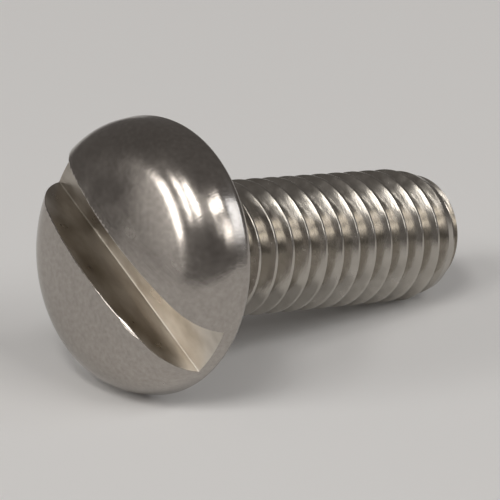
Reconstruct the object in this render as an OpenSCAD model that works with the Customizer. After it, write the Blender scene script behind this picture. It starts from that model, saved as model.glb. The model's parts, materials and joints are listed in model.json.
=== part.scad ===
// Slotted pan head machine screw, fully threaded, formed from one piece of stainless steel.
// It lies on its side as it comes to rest, on the rim of its head and on a crest near the tip,
// with its tip towards +X, the floor at z = 0 and the origin under the middle of its box.

/* [Thread] */
// Outside diameter of the thread, over its crests
thread_d = 5.88; // [5.2:0.02:7]
// Distance from one crest to the next
pitch = 1; // [0.8:0.05:1.25]
// Length under the head, from the bearing face to the tip
length = 16; // [10:0.5:30]
// Length of the plain neck between the head and the first thread
neck_len = 1; // [0.8:0.1:2]
// Length over which the thread rises from the neck to its full depth
run_in_len = 0.8; // [0.4:0.1:1.5]
// Length of the taper that the last crests follow at the tip
tip_taper_len = 1.6; // [0.6:0.2:3]
// How far that taper comes in at the tip, measured from the crests
tip_taper_cut = 0.4; // [0.1:0.05:0.7]

/* [Head] */
// Diameter of the head at its widest, just above the bearing face
head_d = 11.8; // [10.6:0.1:13]
// Height of the head at its middle, above the bearing face
head_h = 3.25; // [3:0.05:4.2]
// Radius of the domed crown
crown_r = 17; // [13:0.5:30]
// Radius of the shoulder between the crown and the side
shoulder_r = 2.2; // [1.2:0.1:2.4]
// How many degrees the side leans in towards the crown
side_lean = 8; // [2:1:20]
// Radius of the rounded rim at the bearing face
rim_r = 0.4; // [0.2:0.05:0.6]
// Radius of the fillet between the bearing face and the neck
fillet_r = 0.35; // [0.25:0.05:0.5]

/* [Slot] */
// Width of the driver slot
slot_w = 2.3; // [1.2:0.1:2.8]
// Depth of the slot, from the top of the crown to its flat floor
slot_depth = 2.3; // [1.2:0.1:2.4]

/* [Rest] */
// Turn of the lying screw about its own axis, which sets where the slot points
roll = 61; // [-90:1:90]
// Turn of the thread about the axis, measured from the slot
thread_start = -48; // [-180:1:180]

/* [Hidden] */
$fn = 96;

// Thread form: flanks at 60 degrees, a flat crest and a root as deep as a rolled one
FLANK_ANGLE = 60;
CREST_SHARE = 1 / 8;
DEPTH_SHARE = 17 / 24;
// Flat steps in one turn of the thread, and rows of corners in one pitch
CHORDS = 48;
ROWS = 4;
// How far the thread's first turn reaches back over the neck, and how far it stands out past it
OVERLAP = 0.1;
NECK_STEP = 0.02;
// Least gap between a row and an end of the thread
MARGIN = 0.004;
// How far the slot's cutter stands out past the head
CLEAR = 1;

thread_r = thread_d / 2;
sharp_h = pitch / 2 / tan(FLANK_ANGLE / 2);
thread_depth = DEPTH_SHARE * sharp_h;
root_r = thread_r - thread_depth;
neck_r = thread_r - thread_depth / 2;
start_r = neck_r + NECK_STEP;
crest_w = CREST_SHARE * pitch;
flank_w = thread_depth * tan(FLANK_ANGLE / 2);
root_w = pitch - crest_w - 2 * flank_w;
tip_r = thread_r - tip_taper_cut;
thread_from = neck_len - OVERLAP;

// The four rows of corners in each pitch: distance from the middle of the crest, and radius
row_at = [-crest_w / 2, crest_w / 2, crest_w / 2 + flank_w, crest_w / 2 + flank_w + root_w];
row_r = [thread_r, thread_r, root_r, root_r];
function row_kind(g) = (g % ROWS + ROWS) % ROWS;

// At a distance s below the bearing face: how far the run-in has come, the taper at the tip, and the
// largest and the least radius. In the run-in crests rise from the neck while grooves sink into it.
function run_in(s) = min(1, max(0, s - neck_len) / run_in_len);
function taper_r(s) = tip_r + (length - s) * tip_taper_cut / tip_taper_len;
function largest_r(s) = min(start_r + run_in(s) * (thread_r - start_r), taper_r(s));
function least_r(s) = start_r + run_in(s) * (root_r - start_r);
function within(s, r) = min(largest_r(s), max(least_r(s), r));

// Radius of the thread at a distance s below the bearing face, on chord i
function from_crest(q) = abs(q - pitch * round(q / pitch));
function flank_share(q) = min(1, max(0, (from_crest(q) - crest_w / 2) / flank_w));
function thread_radius(s, i) = within(s, thread_r - thread_depth * flank_share(s - pitch * i / CHORDS));

// Row g is a helix: it moves one pitch towards the tip in each turn of CHORDS chords
function row_s(g, i) = pitch * (floor(g / ROWS) + i / CHORDS) + row_at[row_kind(g)];
function row_radius(g, i) = within(row_s(g, i), row_r[row_kind(g)]);

// The first and the last row that lie between the thread's two ends on chord i
g_low = floor(thread_from / pitch - 2) * ROWS;
g_high = ceil(length / pitch + 2) * ROWS;
function first_row(i, g = g_low) = row_s(g, i) > thread_from + MARGIN ? g : first_row(i, g + 1);
function last_row(i, g = g_high) = row_s(g, i) < length - MARGIN ? g : last_row(i, g - 1);
first_rows = [for (i = [0:CHORDS]) first_row(i)];
last_rows = [for (i = [0:CHORDS]) last_row(i)];

// Corner of the thread on chord i, in the screw's own frame: head up, bearing face at z = 0
function chord_angle(i) = thread_start - 360 * i / CHORDS;
function corner(s, r, i) = [r * cos(chord_angle(i)), r * sin(chord_angle(i)), -s];
function chord_corners(i) = [
    corner(thread_from, thread_radius(thread_from, i), i),
    for (g = [first_rows[i]:last_rows[i]]) corner(row_s(g, i), row_radius(g, i), i),
    corner(length, thread_radius(length, i), i)
];
thread_corners = [for (i = [0:CHORDS - 1]) each chord_corners(i)];

// Where each chord's corners start in that list, and the number of each corner in it.
// Chord number CHORDS is chord 0 again, one pitch on, so its rows are ROWS further along.
counts = [for (i = [0:CHORDS - 1]) last_rows[i] - first_rows[i] + 3];
starts = [for (i = 0, at = 0; i < CHORDS; at = at + counts[i], i = i + 1) at];
function start_no(i) = starts[i % CHORDS];
function end_no(i) = starts[i % CHORDS] + counts[i % CHORDS] - 1;
function row_no(i, g) = i < CHORDS ? starts[i] + 1 + g - first_rows[i] : row_no(0, g + ROWS);

// Faces between chord i and the next: a row enters at the neck or leaves at the tip on some chords
function strip(i) = let (a = first_rows[i], b = last_rows[i], c = first_rows[i + 1], d = last_rows[i + 1]) [
    [start_no(i), row_no(i + 1, c), start_no(i + 1)],
    for (g = [c:1:a - 1]) [start_no(i), row_no(i + 1, g + 1), row_no(i + 1, g)],
    [start_no(i), row_no(i, a), row_no(i + 1, a)],
    for (g = [a:d - 1]) each [
        [row_no(i, g), row_no(i, g + 1), row_no(i + 1, g + 1)],
        [row_no(i, g), row_no(i + 1, g + 1), row_no(i + 1, g)]
    ],
    [row_no(i + 1, d), row_no(i, d), end_no(i + 1)],
    for (g = [d:1:b - 1]) [row_no(i, g), row_no(i, g + 1), end_no(i + 1)],
    [row_no(i, b), end_no(i), end_no(i + 1)]
];
thread_faces = [
    [for (i = [0:CHORDS - 1]) start_no(i)],
    [for (i = [CHORDS - 1:-1:0]) end_no(i)],
    for (i = [0:CHORDS - 1]) each strip(i)
];

// Outline of the head, as [radius, height]: the rim's centre, and the shoulder tangent to side and crown
rim_at = [head_d / 2 - rim_r, rim_r];
crown_at = [0, head_h - crown_r];
side_out = [cos(side_lean), sin(side_lean)];
side_up = [-sin(side_lean), cos(side_lean)];
shoulder_from = rim_at + (rim_r - shoulder_r) * side_out;
crown_to_shoulder = crown_r - shoulder_r;
shoulder_gap = shoulder_from - crown_at;
shoulder_along = shoulder_gap * side_up;
shoulder_rise = sqrt(shoulder_along ^ 2 - shoulder_gap * shoulder_gap + crown_to_shoulder ^ 2) - shoulder_along;
shoulder_at = shoulder_from + shoulder_rise * side_up;
crown_end = crown_at + (shoulder_at - crown_at) * crown_r / crown_to_shoulder;
side_end = shoulder_at + shoulder_r * side_out;
side_start = rim_at + rim_r * side_out;

// How the screw lies. It tips about the rim until a crest touches the floor, on the chord that is lowest.
low_chord = (thread_start + roll - 180) * CHORDS / 360;
function touch_tilt(s, r) = let (a = s + rim_r, b = rim_at.x - r) atan2(b, a) + asin(rim_r / norm([a, b]));
low_rows = [for (g = [g_low:g_high]) let (s = row_s(g, low_chord)) if (s > neck_len && s < length) g];
tilt = min([for (g = low_rows) touch_tilt(row_s(g, low_chord), row_radius(g, low_chord))]);
lift = rim_at.x * cos(tilt) + rim_r - rim_r * sin(tilt);

// Ends of the lying screw along X: the crown, and whichever thread corner reaches furthest
crown_reach = crown_r + crown_at.y * cos(tilt);
function rolled_up(p) = p.x * cos(roll) - p.y * sin(roll);
tip_reach = max([for (p = thread_corners) -p.z * cos(tilt) + rolled_up(p) * sin(tilt)]);

module head_outline() {
    intersection() {
        translate(crown_at) circle(crown_r);
        square([crown_end.x, head_h]);
    }
    intersection() {
        translate(shoulder_at) circle(shoulder_r);
        square([head_d, head_h]);
    }
    translate(rim_at) circle(rim_r);
    polygon([[0, 0], [rim_at.x, 0], side_start, side_end, shoulder_at, crown_end, [0, crown_end.y]]);
}

module neck_outline() {
    translate([0, -neck_len]) square([neck_r, neck_len]);
    difference() {
        translate([0, -fillet_r]) square([neck_r + fillet_r, fillet_r]);
        translate([neck_r + fillet_r, -fillet_r]) circle(fillet_r);
    }
}

module slot_cutter() {
    translate([-head_d / 2 - CLEAR, -slot_w / 2, head_h - slot_depth])
        cube([head_d + 2 * CLEAR, slot_w, slot_depth + CLEAR]);
}

module head_blank() {
    rotate_extrude() head_outline();
    rotate_extrude() neck_outline();
}

module thread() {
    polyhedron(points = thread_corners, faces = thread_faces);
}

module machine_screw() {
    color("darkgray")
        translate([(crown_reach - tip_reach) / 2, 0, lift])
            rotate([0, tilt - 90, 0])
                rotate(roll)
                    difference() {
                        union() {
                            head_blank();
                            thread();
                        }
                        slot_cutter();
                    }
}

machine_screw();
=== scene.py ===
# %% [markdown]
# A slotted pan head machine screw, lying on a pale floor.
# The real screw is made from one piece of stainless steel wire. Its head is struck cold in a die,
# its slot is sawn, and its thread is rolled between two flat dies. This lesson makes the same things
# in the same order: a turned blank, a sawn slot and a rolled thread, then the finish and the light.
# The first cell loads the frame that holds the solid, so that the two share one place and one size.

# %% Load the frame
import json
import math

import bpy
from mathutils import Matrix, Vector


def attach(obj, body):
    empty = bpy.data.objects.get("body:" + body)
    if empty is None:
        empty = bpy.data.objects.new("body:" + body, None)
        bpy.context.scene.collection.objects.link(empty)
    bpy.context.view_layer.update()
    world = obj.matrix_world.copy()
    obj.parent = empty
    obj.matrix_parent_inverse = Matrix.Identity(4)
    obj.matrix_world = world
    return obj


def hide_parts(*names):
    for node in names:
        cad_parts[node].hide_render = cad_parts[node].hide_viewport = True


MM = 0.001

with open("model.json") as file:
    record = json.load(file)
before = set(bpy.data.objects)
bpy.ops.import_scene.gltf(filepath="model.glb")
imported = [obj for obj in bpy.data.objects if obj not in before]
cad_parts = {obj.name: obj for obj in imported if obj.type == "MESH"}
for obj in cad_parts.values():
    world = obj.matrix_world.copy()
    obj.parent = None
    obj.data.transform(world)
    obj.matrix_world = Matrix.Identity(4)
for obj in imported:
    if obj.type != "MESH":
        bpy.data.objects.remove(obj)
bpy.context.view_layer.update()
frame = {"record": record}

# %% [markdown]
# The screw lies askew, so it is easier to model it upright, standing on its tip, and to lay it down
# at the end. The record says where it lies: its thread mount stands at the middle of the tip and
# points out of it. The sizes are those of the solid, in millimetres.

# %% Sizes and place
LENGTH = 16
THREAD_R = 2.94
PITCH = 1
NECK_LEN = 1
RUN_IN_LEN = 0.8
TIP_TAPER_LEN = 1.6
TIP_TAPER_CUT = 0.4
HEAD_R = 5.9
HEAD_H = 3.25
CROWN_R = 17
SHOULDER_R = 2.2
SIDE_LEAN = math.radians(8)
RIM_R = 0.4
FILLET_R = 0.35
SLOT_W = 2.3
SLOT_DEPTH = 2.3
ROLL = math.radians(61)
THREAD_START = math.radians(-48)

mounts = {m["name"]: m for m in frame["record"]["mounts"]}
tip_way = Vector(mounts["thread"]["axis"]).normalized()
tip_at = Vector(mounts["thread"]["pos_m"])
bearing_at = tip_at - tip_way * LENGTH * MM
tilt = math.asin(-tip_way.z)
lay_down = (
    Matrix.Translation(bearing_at)
    @ Matrix.Rotation(tilt - math.pi / 2, 4, "Y")
    @ Matrix.Rotation(ROLL, 4, "Z")
)
print("the shank dips by", round(math.degrees(tilt), 2), "degrees")

# %% [markdown]
# Most of the screw is round about its own axis. Such a shape could be cut from a cylinder with many
# bevels, but a lathe does it better: one half of the section is drawn as a line of corners and spun
# once round. The line starts as a plane merged to a single corner, which is extruded again and again.

# %% Helpers for turned shapes
TURN_STEPS = 256
# Corners that are closer than this are one corner
SAME_CORNER = 0.0005


def only(piece):
    """Selects one piece and nothing else."""
    bpy.ops.object.select_all(action="DESELECT")
    piece.select_set(True)
    bpy.context.view_layer.objects.active = piece


def arc(centre, radius, start, end, steps):
    """Points on an arc in the half section. Angles are in radians, from outwards towards up."""
    angles = [start + (end - start) * i / steps for i in range(steps + 1)]
    return [Vector((centre[0] + radius * math.cos(a), centre[1] + radius * math.sin(a))) for a in angles]


def draw_line(name, points):
    """Draws a half section in the XZ plane, from (distance from the axis, height) in millimetres."""
    corners = [Vector((p[0], 0, p[1])) * MM for p in points]
    bpy.ops.object.select_all(action="DESELECT")
    bpy.ops.mesh.primitive_plane_add(size=MM)
    piece = bpy.context.object
    piece.name = name
    bpy.ops.object.mode_set(mode="EDIT")
    bpy.ops.mesh.select_mode(type="VERT")
    bpy.ops.mesh.merge(type="CENTER")
    bpy.ops.transform.translate(value=corners[0])
    for a, b in zip(corners, corners[1:]):
        bpy.ops.mesh.extrude_region_move(TRANSFORM_OT_translate={"value": b - a})
    bpy.ops.object.mode_set(mode="OBJECT")
    return piece


def close_mesh(piece):
    """Merges doubled corners and turns every face outwards."""
    only(piece)
    bpy.ops.object.mode_set(mode="EDIT")
    bpy.ops.mesh.select_all(action="SELECT")
    bpy.ops.mesh.remove_doubles(threshold=SAME_CORNER * MM)
    bpy.ops.mesh.normals_make_consistent(inside=False)
    bpy.ops.object.mode_set(mode="OBJECT")


def turn(name, points, start=0.0):
    """Draws a half section and spins it once round the axis, from a start given in steps."""
    piece = draw_line(name, points)
    bpy.ops.object.mode_set(mode="EDIT")
    bpy.ops.mesh.select_all(action="SELECT")
    first = start * math.tau / TURN_STEPS
    bpy.ops.transform.rotate(value=first, orient_axis="Z", center_override=(0, 0, 0))
    bpy.ops.mesh.spin(steps=TURN_STEPS, angle=math.tau, center=(0, 0, 0), axis=(0, 0, 1))
    bpy.ops.object.mode_set(mode="OBJECT")
    close_mesh(piece)
    return piece


# %% [markdown]
# A solid thing needs a closed mesh: every edge has a face on each of its two sides. Cuts can tear a
# mesh where nobody looks, so each step below prints how many of its edges are open.

# %% A test for a closed mesh
def open_edges(piece):
    """Counts the edges that don't have a face on both sides: none in a closed mesh."""
    uses = {}
    for face in piece.data.polygons:
        for key in face.edge_keys:
            uses[key] = uses.get(key, 0) + 1
    return sum(1 for n in uses.values() if n != 2)


# %% [markdown]
# The head is a low dome. Its section is a wide crown arc, a tight shoulder arc, a side that leans in
# by a few degrees so that the punch lets go of it, and a rounded rim. The bearing face under it is
# flat, and a fillet leads into the neck. A cone below the neck fills the first grooves of the
# thread, because they get shallower where the rolling dies end.

# %% The turned blank
FLANK = math.radians(30)
DEPTH_SHARE = 17 / 24
sharp_h = PITCH / 2 / math.tan(FLANK)
THREAD_DEPTH = DEPTH_SHARE * sharp_h
ROOT_R = THREAD_R - THREAD_DEPTH
NECK_R = THREAD_R - THREAD_DEPTH / 2
# The blank's cone ends a little inside the thread's roots, so that the two meshes cross cleanly
SUNK = 0.06

rim_at = Vector((HEAD_R - RIM_R, RIM_R))
crown_at = Vector((0, HEAD_H - CROWN_R))
side_out = Vector((math.cos(SIDE_LEAN), math.sin(SIDE_LEAN)))
side_up = Vector((-math.sin(SIDE_LEAN), math.cos(SIDE_LEAN)))
shoulder_from = rim_at + (RIM_R - SHOULDER_R) * side_out
gap = shoulder_from - crown_at
along = gap.dot(side_up)
rise = math.sqrt(along**2 - gap.length_squared + (CROWN_R - SHOULDER_R) ** 2) - along
shoulder_at = shoulder_from + rise * side_up
crown_end = math.atan2(shoulder_at.y - crown_at.y, shoulder_at.x)

fillet_at = (NECK_R + FILLET_R, -FILLET_R)
run_in_end = NECK_LEN + RUN_IN_LEN
blank_line = (
    arc(crown_at, CROWN_R, math.pi / 2, crown_end, steps=28)
    + arc(shoulder_at, SHOULDER_R, crown_end, SIDE_LEAN, steps=24)[1:]
    + arc(rim_at, RIM_R, SIDE_LEAN, -math.pi / 2, steps=12)
    + arc(fillet_at, FILLET_R, math.pi / 2, math.pi, steps=10)
    + [(NECK_R, -NECK_LEN), (ROOT_R - SUNK, -run_in_end), (0, -run_in_end)]
)
screw = turn("pan_head_screw", blank_line)
print("blank:", len(screw.data.vertices), "corners,", open_edges(screw), "open edges")

# %% [markdown]
# Cutting and joining solid shapes is the work of the Boolean modifier, and the second piece is used
# up by it. The exact solver is slower than the fast one, but it copes with meshes that cross often.

# %% A helper for cuts and joints
def combine(piece, other, operation):
    """Joins, cuts or trims a piece with another one, which is used up."""
    only(piece)
    modifier = piece.modifiers.new(operation.title(), "BOOLEAN")
    modifier.operation = operation
    modifier.object = other
    modifier.solver = "EXACT"
    modifier.material_mode = "TRANSFER"
    bpy.ops.object.modifier_apply(modifier=modifier.name)
    bpy.data.objects.remove(other)


# %% [markdown]
# The slot is sawn by a disc while a drum carries the screws past it, so it has square walls, a flat
# floor and a small round where they meet. The cutter is a box with two rounded edges.

# %% The sawn slot
SLOT_CORNER_R = 0.05
SAW_CLEAR = 1
# What is this close to the slot's floor belongs to it
NEAR = 0.01

floor_z = HEAD_H - SLOT_DEPTH
saw_size = Vector((2 * (HEAD_R + SAW_CLEAR), SLOT_W, SLOT_DEPTH + SAW_CLEAR))
saw_at = (0, 0, (floor_z + saw_size.z / 2) * MM)
bpy.ops.object.select_all(action="DESELECT")
bpy.ops.mesh.primitive_cube_add(size=1, location=saw_at, scale=saw_size * MM)
bpy.ops.object.transform_apply(location=True, rotation=True, scale=True)
saw = bpy.context.object
# The two long edges of the box's underside are rounded
for edge in saw.data.edges:
    ends = [saw.data.vertices[i].co / MM for i in edge.vertices]
    edge.select = all(p.z < floor_z + NEAR for p in ends) and abs(ends[0].x - ends[1].x) > HEAD_R
bpy.ops.object.mode_set(mode="EDIT")
bpy.ops.mesh.select_mode(type="EDGE")
bpy.ops.mesh.bevel(offset=SLOT_CORNER_R * MM, segments=5)
bpy.ops.object.mode_set(mode="OBJECT")
combine(screw, saw, "DIFFERENCE")
print("slot cut:", len(screw.data.vertices), "corners,", open_edges(screw), "open edges")

# %% [markdown]
# One edge of the slot is worn: a driver's blade slipped on it, not far from its lower end, and
# pressed a shallow flat that flashes as one piece. A cylinder that only just bites into the edge
# leaves such a lens-shaped flat: here a short one and a longer, shallower one that runs on from it.
# Each cylinder lies across the edge, and its flat faces a little more to the dome's side than to
# the slot's.

# %% The worn edge
# Where the two cylinders stand along the slot, their radii, and how deep they bite
WEAR_AT = (-2.85, -1.65)
WEAR_R = (5, 40)
WEAR_DEPTH = (0.08, 0.03)
# How much the dome's direction counts for the flat's, against the slot wall's
LEAN = 1.3
CUTTER_LEN = 0.8
FACETS_PER_MM = 24

for x, radius, depth in zip(WEAR_AT, WEAR_R, WEAR_DEPTH):
    edge_z = crown_at.y + math.sqrt(CROWN_R**2 - x**2 - (SLOT_W / 2) ** 2)
    edge_at = Vector((x, SLOT_W / 2, edge_z))
    dome_out = (edge_at - Vector((0, 0, crown_at.y))).normalized()
    out = (dome_out * LEAN + Vector((0, -1, 0))).normalized()
    along_edge = Vector((dome_out.z, 0, -dome_out.x)).normalized()
    facets = round(FACETS_PER_MM * radius)
    bpy.ops.object.select_all(action="DESELECT")
    bpy.ops.mesh.primitive_cylinder_add(vertices=facets, radius=radius * MM, depth=CUTTER_LEN * MM)
    blade = bpy.context.object
    turned = Matrix((along_edge, out, along_edge.cross(out))).transposed()
    blade_at = Matrix.Translation((edge_at + out * (radius - depth)) * MM)
    blade.data.transform(blade_at @ turned.to_4x4())
    combine(screw, blade, "DIFFERENCE")
print("worn edge:", len(screw.data.vertices), "corners,", open_edges(screw), "open edges")

# %% [markdown]
# Tumbling rubs the slot's edges where they break the dome. They are the only sharp edges above the
# bearing face, so they are found by their angle and height and get a narrow round bevel, which
# catches the light as the real edge does.

# %% The rubbed edges
SLOT_EDGE = 0.02
SHARP = math.radians(28)
# The cuts leave slivers that are narrower than this, and a bevel would fold over on them
SLIVER = 0.015
# What is lower than this belongs to the rim or the neck
ABOVE_RIM = 0.1

only(screw)
bpy.ops.object.mode_set(mode="EDIT")
bpy.ops.mesh.select_all(action="SELECT")
bpy.ops.mesh.remove_doubles(threshold=SLIVER * MM)
bpy.ops.mesh.select_all(action="DESELECT")
bpy.ops.mesh.edges_select_sharp(sharpness=SHARP)
bpy.ops.object.mode_set(mode="OBJECT")
for edge in screw.data.edges:
    if edge.select:
        edge.select = all(screw.data.vertices[i].co.z > ABOVE_RIM * MM for i in edge.vertices)
print("slot edges:", sum(e.select for e in screw.data.edges))
bpy.ops.object.mode_set(mode="EDIT")
bpy.ops.mesh.bevel(offset=SLOT_EDGE * MM, segments=2, clamp_overlap=False)
bpy.ops.object.mode_set(mode="OBJECT")
close_mesh(screw)
print("slot finished:", len(screw.data.vertices), "corners,", open_edges(screw), "open edges")

# %% [markdown]
# A rolled thread is one section swept along a helix: 60 degree flanks, a round root and a crest
# with soft corners. Blender's Screw modifier sweeps a line that is exactly one pitch long, and its
# turns then meet end to end. The line is drawn around a crest, and moved up the axis until
# the crests stand where the solid has them.

# %% The rolled thread
ROOT_ARC_R = sharp_h / 6
CREST_ARC_R = 0.05
CREST_W = PITCH / 8
TURNS = 19
# How many of those turns lie past the tip
SPARE_TURNS = 2
STEPS_A_TURN = 96

root_centre = ROOT_R + ROOT_ARC_R
crest_turn = CREST_ARC_R * math.tan(FLANK)
crest_edge = CREST_W / 2 - crest_turn
crest_corner = (THREAD_R - CREST_ARC_R, crest_edge)
upper = [(THREAD_R, crest_edge)]
upper += arc(crest_corner, CREST_ARC_R, 0, math.pi / 2 - FLANK, steps=4)[1:]
lower = arc((root_centre, PITCH / 2), ROOT_ARC_R, -math.pi / 2 - FLANK, -math.pi, steps=6)
flank_middle = (upper[-1][0] / 2 + lower[0][0] / 2, upper[-1][1] / 2 + lower[0][1] / 2)
half = upper + [flank_middle] + lower
section = [(r, -z) for r, z in reversed(half)] + half
crest_z = -PITCH * THREAD_START / math.tau
first_z = crest_z - PITCH * (LENGTH + SPARE_TURNS)
rod = draw_line("rolled_thread", [(r, z + first_z) for r, z in section])
only(rod)
sweep = rod.modifiers.new("Rolling", "SCREW")
sweep.axis = "Z"
sweep.angle = math.tau
sweep.screw_offset = PITCH * MM
sweep.iterations = TURNS
sweep.steps = sweep.render_steps = STEPS_A_TURN
bpy.ops.object.modifier_apply(modifier=sweep.name)
close_mesh(rod)
print("thread:", len(rod.data.vertices), "corners")

# %% [markdown]
# The swept rod is too long, and open where the sweep starts and ends. Both openings are filled, and a
# turned envelope then trims the rod: low at the neck, where the dies start to bite, and tapered with
# a rounded edge at the tip, where the wire was pointed before it was rolled.

# %% Trim the thread and join it to the blank
ENVELOPE_GAP = 0.02
# The envelope is turned by this part of a step, so that its corners miss those of the rod
ENVELOPE_START = 0.37
TIP_ROUND_R = 0.3
NECK_OVERLAP = 0.25
THREAD_FROM = NECK_LEN - NECK_OVERLAP

only(rod)
bpy.ops.object.mode_set(mode="EDIT")
bpy.ops.mesh.select_all(action="DESELECT")
bpy.ops.mesh.select_non_manifold()
bpy.ops.mesh.fill_holes(sides=0)
bpy.ops.object.mode_set(mode="OBJECT")
close_mesh(rod)
print("rod:", len(rod.data.vertices), "corners,", open_edges(rod), "open edges")

taper = math.atan2(TIP_TAPER_CUT, TIP_TAPER_LEN)
full_r = THREAD_R + ENVELOPE_GAP
tip_r = THREAD_R - TIP_TAPER_CUT
taper_from = LENGTH - TIP_TAPER_LEN - ENVELOPE_GAP / math.tan(taper)
round_r = tip_r - TIP_ROUND_R / math.cos(taper) + TIP_ROUND_R * math.tan(taper)
round_at = (round_r, -LENGTH + TIP_ROUND_R)
envelope_line = [
    (0, -THREAD_FROM),
    (NECK_R + ENVELOPE_GAP, -THREAD_FROM),
    (NECK_R + ENVELOPE_GAP, -NECK_LEN),
    (full_r, -run_in_end),
    (full_r, -taper_from),
]
envelope_line += arc(round_at, TIP_ROUND_R, -taper, -math.pi / 2, steps=10)
envelope_line += [(0, -LENGTH)]
envelope = turn("envelope", envelope_line, start=ENVELOPE_START)
combine(rod, envelope, "INTERSECT")
print("trimmed:", len(rod.data.vertices), "corners,", open_edges(rod), "open edges")
combine(screw, rod, "UNION")
close_mesh(screw)
print("screw:", len(screw.data.vertices), "corners,", open_edges(screw), "open edges")

# %% [markdown]
# The finished mesh is laid down where the solid lies, and the place goes into the mesh itself, so
# that the piece's own origin stays at the frame's. Edges under 35 degrees are shaded as one curve.

# %% Lay the screw down
SMOOTH_BELOW = math.radians(35)

screw.data.transform(lay_down)
only(screw)
bpy.ops.object.shade_smooth_by_angle(angle=SMOOTH_BELOW)
screw.data.update()
lowest = min(v.co.z for v in screw.data.vertices)
print("height of the lowest corner, mm:", round(lowest / MM, 4))

# %% [markdown]
# A material is a small network of nodes. One function adds a node with its settings and its links,
# so a material reads from top to bottom. Patterns are laid out in the upright screw, where the slot
# and the shank run along the axes, and a Mapping node turns the lying screw back to that place.

# %% Helpers for materials
# A Mix node has sockets for each kind of value. Its two colours and its result have these numbers
FIRST_COLOUR = 6
SECOND_COLOUR = 7
MIXED_COLOUR = 2
# Noise hardly ever leaves the middle of its range, so this part of it is spread over the whole
MIDDLE_OF_NOISE = {"From Min": 0.3, "From Max": 0.7}


def linear(hex_colour):
    """Turns an sRGB hex colour into the linear values that a shader works with."""
    parts = [int(hex_colour[i : i + 2], 16) / 255 for i in (1, 3, 5)]
    return [p / 12.92 if p <= 0.04045 else ((p + 0.055) / 1.055) ** 2.4 for p in parts] + [1]


def add_node(tree, kind, settings=None, links=None):
    """Adds a node. A setting goes to the input of its name, or else to the node itself. A link feeds
    the input of its name."""
    node = tree.nodes.new(kind)
    for name, value in (settings or {}).items():
        if name in node.inputs:
            node.inputs[name].default_value = value
        else:
            setattr(node, name, value)
    for name, source in (links or {}).items():
        tree.links.new(source, node.inputs[name])
    return node


def new_material(name):
    """Makes an empty node material and returns it with its node tree."""
    material = bpy.data.materials.new(name)
    material.use_nodes = True
    material.node_tree.nodes.clear()
    return material, material.node_tree


def in_screw(size_mm):
    """Settings of a Mapping node that lays a pattern out in the upright screw. The size is that of
    the pattern's grain along each axis."""
    return {
        "vector_type": "TEXTURE",
        "Location": lay_down.translation,
        "Rotation": lay_down.to_euler(),
        "Scale": Vector(size_mm) * MM,
    }


# %% [markdown]
# The steel is austenitic stainless, cold formed and then tumbled with stones, which leaves it
# between satin and polished: windows show in it as soft streaks. Its colour is a warm light grey.
# Tumbling leaves fine scratches in every direction and a slightly uneven gloss. A metal's colour is
# its Base Color, and its IOR stays at the default.

# %% Tumbled stainless steel
SCRATCH_DEPTH = 0.0017

screw.data.materials.clear()
tumbled, tree = new_material("tumbled_stainless_steel")
place = add_node(tree, "ShaderNodeTexCoord").outputs["Object"]

# Uneven gloss, in patches a millimetre or two wide
mapping = add_node(tree, "ShaderNodeMapping", in_screw((1.6, 1.6, 1.6)), {"Vector": place})
links = {"Vector": mapping.outputs["Vector"]}
patches = add_node(tree, "ShaderNodeTexNoise", {"Scale": 1, "Detail": 6}, links)
settings = MIDDLE_OF_NOISE | {"To Min": 0.15, "To Max": 0.28}
gloss = add_node(tree, "ShaderNodeMapRange", settings, {"Value": patches.outputs["Fac"]})

# Shallow waves that the stones leave, a millimetre across
mapping = add_node(tree, "ShaderNodeMapping", in_screw((1.1, 1.1, 1.1)), {"Vector": place})
links = {"Vector": mapping.outputs["Vector"]}
waves = add_node(tree, "ShaderNodeTexNoise", {"Scale": 1, "Detail": 3}, links)
settings = {"Strength": 1, "Distance": 0.011 * MM}
relief = add_node(tree, "ShaderNodeBump", settings, {"Height": waves.outputs["Fac"]})

# Fine scratches in two directions. Real ones are some 0.01 mm wide, too fine to show, so these are
# 0.06 mm wide
for size in ((0.9, 0.06, 0.9), (0.06, 0.7, 0.7)):
    mapping = add_node(tree, "ShaderNodeMapping", in_screw(size), {"Vector": place})
    links = {"Vector": mapping.outputs["Vector"]}
    scratches = add_node(tree, "ShaderNodeTexNoise", {"Scale": 1, "Detail": 3}, links)
    settings = {"Strength": 1, "Distance": SCRATCH_DEPTH * MM}
    links = {"Height": scratches.outputs["Fac"], "Normal": relief.outputs["Normal"]}
    relief = add_node(tree, "ShaderNodeBump", settings, links)

# A slightly uneven tone. Real specks are some 0.05 mm wide, too fine to show, so these are 0.2 mm wide
mapping = add_node(tree, "ShaderNodeMapping", in_screw((0.2, 0.2, 0.2)), {"Vector": place})
links = {"Vector": mapping.outputs["Vector"]}
specks = add_node(tree, "ShaderNodeTexNoise", {"Scale": 1, "Detail": 5}, links)
spread = add_node(tree, "ShaderNodeMapRange", MIDDLE_OF_NOISE, {"Value": specks.outputs["Fac"]})
tone = add_node(tree, "ShaderNodeMix", {"data_type": "RGBA"}, {"Factor": spread.outputs["Result"]})
tone.inputs[FIRST_COLOUR].default_value = linear("#A59F99")
tone.inputs[SECOND_COLOUR].default_value = linear("#B5AFA9")

links = {
    "Roughness": gloss.outputs["Result"],
    "Normal": relief.outputs["Normal"],
    "Base Color": tone.outputs[MIXED_COLOUR],
}
skin = add_node(tree, "ShaderNodeBsdfPrincipled", {"Metallic": 1}, links)
add_node(tree, "ShaderNodeOutputMaterial", links={"Surface": skin.outputs["BSDF"]})
screw.data.materials.append(tumbled)
print(tumbled.name, "has", len(tree.nodes), "nodes")

# %% [markdown]
# The slot is sawn after the head is struck, and tumbling barely reaches into it. It keeps the marks
# of the saw, fine lines along its walls and floor, and it is rougher, darker and less even.

# %% Sawn stainless steel
sawn, tree = new_material("sawn_stainless_steel")
place = add_node(tree, "ShaderNodeTexCoord").outputs["Object"]

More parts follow.
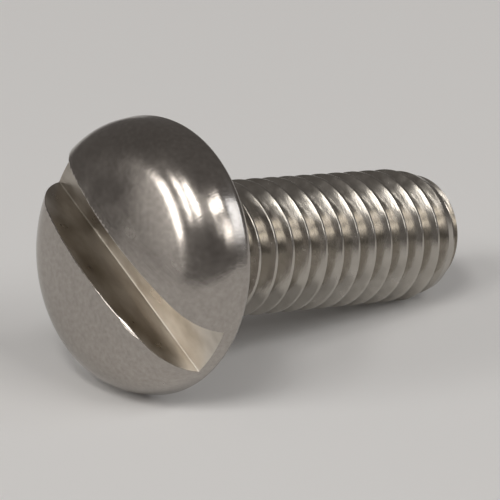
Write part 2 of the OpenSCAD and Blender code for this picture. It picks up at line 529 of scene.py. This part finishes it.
# Stained and dull patches, drawn out along the saw's path
mapping = add_node(tree, "ShaderNodeMapping", in_screw((2.2, 1.0, 1.0)), {"Vector": place})
links = {"Vector": mapping.outputs["Vector"]}
patches = add_node(tree, "ShaderNodeTexNoise", {"Scale": 1, "Detail": 4}, links)
settings = MIDDLE_OF_NOISE | {"To Min": 0.26, "To Max": 0.46}
gloss = add_node(tree, "ShaderNodeMapRange", settings, {"Value": patches.outputs["Fac"]})
# A narrower part of the noise makes the stains more distinct
settings = {"From Min": 0.38, "From Max": 0.62}
spread = add_node(tree, "ShaderNodeMapRange", settings, {"Value": patches.outputs["Fac"]})
stain = add_node(tree, "ShaderNodeMix", {"data_type": "RGBA"}, {"Factor": spread.outputs["Result"]})
stain.inputs[FIRST_COLOUR].default_value = linear("#ADA59A")
stain.inputs[SECOND_COLOUR].default_value = linear("#CDC7BE")

# The saw's lines. Real ones are some 0.02 mm wide, too fine to show, so these are 0.07 mm wide
mapping = add_node(tree, "ShaderNodeMapping", in_screw((2.5, 0.07, 0.07)), {"Vector": place})
links = {"Vector": mapping.outputs["Vector"]}
lines = add_node(tree, "ShaderNodeTexNoise", {"Scale": 1, "Detail": 3}, links)
settings = {"Strength": 1, "Distance": 0.005 * MM}
relief = add_node(tree, "ShaderNodeBump", settings, {"Height": lines.outputs["Fac"]})

links = {
    "Roughness": gloss.outputs["Result"],
    "Normal": relief.outputs["Normal"],
    "Base Color": stain.outputs[MIXED_COLOUR],
}
skin = add_node(tree, "ShaderNodeBsdfPrincipled", {"Metallic": 1}, links)
add_node(tree, "ShaderNodeOutputMaterial", links={"Surface": skin.outputs["BSDF"]})
screw.data.materials.append(sawn)
print(sawn.name, "has", len(tree.nodes), "nodes")

# %% [markdown]
# The thread is rolled, and the tumbling stones reach its crests but not its grooves. So it is duller
# than the head, with specks along its crests, and its marks run around the shank, as the dies did.

# %% Rolled stainless steel
rolled, tree = new_material("rolled_stainless_steel")
place = add_node(tree, "ShaderNodeTexCoord").outputs["Object"]

# Uneven gloss and tone, in patches half a millimetre wide
mapping = add_node(tree, "ShaderNodeMapping", in_screw((0.5, 0.5, 0.5)), {"Vector": place})
links = {"Vector": mapping.outputs["Vector"]}
patches = add_node(tree, "ShaderNodeTexNoise", {"Scale": 1, "Detail": 5}, links)
settings = MIDDLE_OF_NOISE | {"To Min": 0.17, "To Max": 0.28}
gloss = add_node(tree, "ShaderNodeMapRange", settings, {"Value": patches.outputs["Fac"]})
tone = add_node(tree, "ShaderNodeMix", {"data_type": "RGBA"}, {"Factor": patches.outputs["Fac"]})
tone.inputs[FIRST_COLOUR].default_value = linear("#A49F96")
tone.inputs[SECOND_COLOUR].default_value = linear("#CDC8C1")

# Marks of the dies, drawn out around the shank. Real ones are some 0.02 mm wide, too fine to show,
# so these are 0.06 mm wide
mapping = add_node(tree, "ShaderNodeMapping", in_screw((0.35, 0.35, 0.06)), {"Vector": place})
links = {"Vector": mapping.outputs["Vector"]}
marks = add_node(tree, "ShaderNodeTexNoise", {"Scale": 1, "Detail": 3}, links)
settings = {"Strength": 1, "Distance": 0.003 * MM}
relief = add_node(tree, "ShaderNodeBump", settings, {"Height": marks.outputs["Fac"]})

links = {
    "Roughness": gloss.outputs["Result"],
    "Normal": relief.outputs["Normal"],
    "Base Color": tone.outputs[MIXED_COLOUR],
}
skin = add_node(tree, "ShaderNodeBsdfPrincipled", {"Metallic": 1}, links)
add_node(tree, "ShaderNodeOutputMaterial", links={"Surface": skin.outputs["BSDF"]})
screw.data.materials.append(rolled)
print(rolled.name, "has", len(tree.nodes), "nodes")

# %% [markdown]
# The three finishes are on one mesh, and each face says which of them it has. Faces are sorted by
# where their middle lies in the upright screw: in the slot, past the neck, or anywhere else.

# %% Which face has which finish
TUMBLED, SAWN, ROLLED = range(3)
# A face this close to the slot's wall is the wall itself
ON_WALL = 0.002

upright = lay_down.inverted()
for face in screw.data.polygons:
    centre = upright @ face.center / MM
    if abs(centre.y) < SLOT_W / 2 + ON_WALL and centre.z > floor_z - NEAR:
        face.material_index = SAWN
    elif centre.z < -NECK_LEN:
        face.material_index = ROLLED
    else:
        face.material_index = TUMBLED
for finish, material in enumerate(screw.data.materials):
    count = sum(face.material_index == finish for face in screw.data.polygons)
    print(material.name, "is on", count, "faces")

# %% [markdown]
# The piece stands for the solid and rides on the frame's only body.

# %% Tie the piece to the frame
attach(screw, "root")
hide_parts("machine_screw")

# %% [markdown]
# The floor is plain, pale and dull. It lights the screw from below, and it is large enough for its
# far edge to be out of every view.

# %% Floor
FLOOR_SIZE = 6

floor_material, tree = new_material("pale_floor")
paper = add_node(tree, "ShaderNodeBsdfDiffuse", {"Color": linear("#F0F0F0")})
add_node(tree, "ShaderNodeOutputMaterial", links={"Surface": paper.outputs["BSDF"]})
bpy.ops.object.select_all(action="DESELECT")
bpy.ops.mesh.primitive_plane_add(size=FLOOR_SIZE)
floor = bpy.context.object
floor.name = "floor"
floor.data.materials.append(floor_material)
print("the floor is", FLOOR_SIZE, "m wide")

# %% [markdown]
# Polished steel shows the room more than itself, so the room is most of its look. This one is dim,
# and soft windows stand round it, as wide as the streaks that they leave. Each is placed by two
# directions, in degrees: an azimuth, from +X towards +Y, and an elevation above the floor. An area
# light's power counts for its whole face, so it is worked out from the brightness and the size.

# %% Room and windows
WINDOW_DISTANCE = 1.0

world = bpy.data.worlds.new("dim_room")
bpy.context.scene.world = world
world.use_nodes = True
world.node_tree.nodes["Background"].inputs["Color"].default_value = linear("#676462")


def way_to(azimuth, elevation):
    """The direction from the screw to a place in the room."""
    a, e = math.radians(azimuth), math.radians(elevation)
    return Vector((math.cos(a) * math.cos(e), math.sin(a) * math.cos(e), math.sin(e)))


def add_window(name, start, end, width, brightness, colour="#FFFCF8"):
    """Adds a soft window between two directions, which are its ends. Its width is in degrees."""
    way = (way_to(*start) + way_to(*end)).normalized()
    across = way.cross(way_to(*end) - way_to(*start)).normalized()
    data = bpy.data.lights.new(name, "AREA")
    data.shape = "RECTANGLE"
    data.size = 2 * WINDOW_DISTANCE * math.tan(way_to(*start).angle(way_to(*end)) / 2)
    data.size_y = 2 * WINDOW_DISTANCE * math.tan(math.radians(width) / 2)
    data.energy = brightness * math.pi * data.size * data.size_y
    data.color = linear(colour)[:3]
    lamp = bpy.data.objects.new(name, data)
    turned = Matrix((across.cross(way), across, way)).transposed()
    lamp.matrix_world = Matrix.Translation(way * WINDOW_DISTANCE) @ turned.to_4x4()
    bpy.context.collection.objects.link(lamp)


add_window("low_window", (154, 32), (173, 15), 14, 6)
add_window("side_window", (171, 53), (-162, 37), 6, 8)
add_window("high_window", (-168, 62), (-140, 45), 9, 8)
add_window("wide_window", (-101, 50), (-56, 46), 12, 4)
add_window("wide_window_sill", (-99, 36), (-62, 32), 8, 1.1)
add_window("radiator", (-81, 29), (-60, 25), 9, 4.2)
add_window("narrow_window", (-40, 39), (-55, 17), 8, 3.3, "#F6FAFF")
add_window("low_wall", (146, 22), (158, 5), 14, 0.4)
add_window("high_wall", (-172, 46), (-104, 50), 20, 0.5)

# %% [markdown]
# The camera looks down on the screw from beyond its head, from about 18 cm away through a long
# lens, so the head hides the neck and the shank runs back and to the right. The Standard view
# transform keeps the colours as they are.

# %% Camera
VIEW_AZIMUTH = math.radians(-43.2)
VIEW_ELEVATION = math.radians(21.3)
VIEW_DISTANCE = 184.9 * MM
# How far the picture's middle lies right of the bearing face's middle, and above it
AIM_RIGHT = 3.942 * MM
AIM_UP = 0.196 * MM
# The focal length in millimetres, for Blender's usual sensor, and the nearest thing that is seen
LENS = 315.8
NEAREST = 10 * MM

back = Vector(
    (
        math.sin(VIEW_AZIMUTH) * math.cos(VIEW_ELEVATION),
        -math.cos(VIEW_AZIMUTH) * math.cos(VIEW_ELEVATION),
        math.sin(VIEW_ELEVATION),
    )
)
turned = back.to_track_quat("Z", "Y")
right, up = turned @ Vector((1, 0, 0)), turned @ Vector((0, 1, 0))
camera_data = bpy.data.cameras.new("camera")
camera_data.lens = LENS
camera_data.clip_start = NEAREST
camera = bpy.data.objects.new("camera", camera_data)
camera.location = bearing_at + back * VIEW_DISTANCE + right * AIM_RIGHT + up * AIM_UP
camera.rotation_euler = turned.to_euler()
bpy.context.collection.objects.link(camera)
bpy.context.scene.camera = camera
bpy.context.scene.view_settings.view_transform = "Standard"
print("the camera stands at", [round(c / MM) for c in camera.location], "mm")

# %% [markdown]
# The faces of the dressed screw are counted.

# %% Count the faces
print("faces:", len(screw.data.polygons))
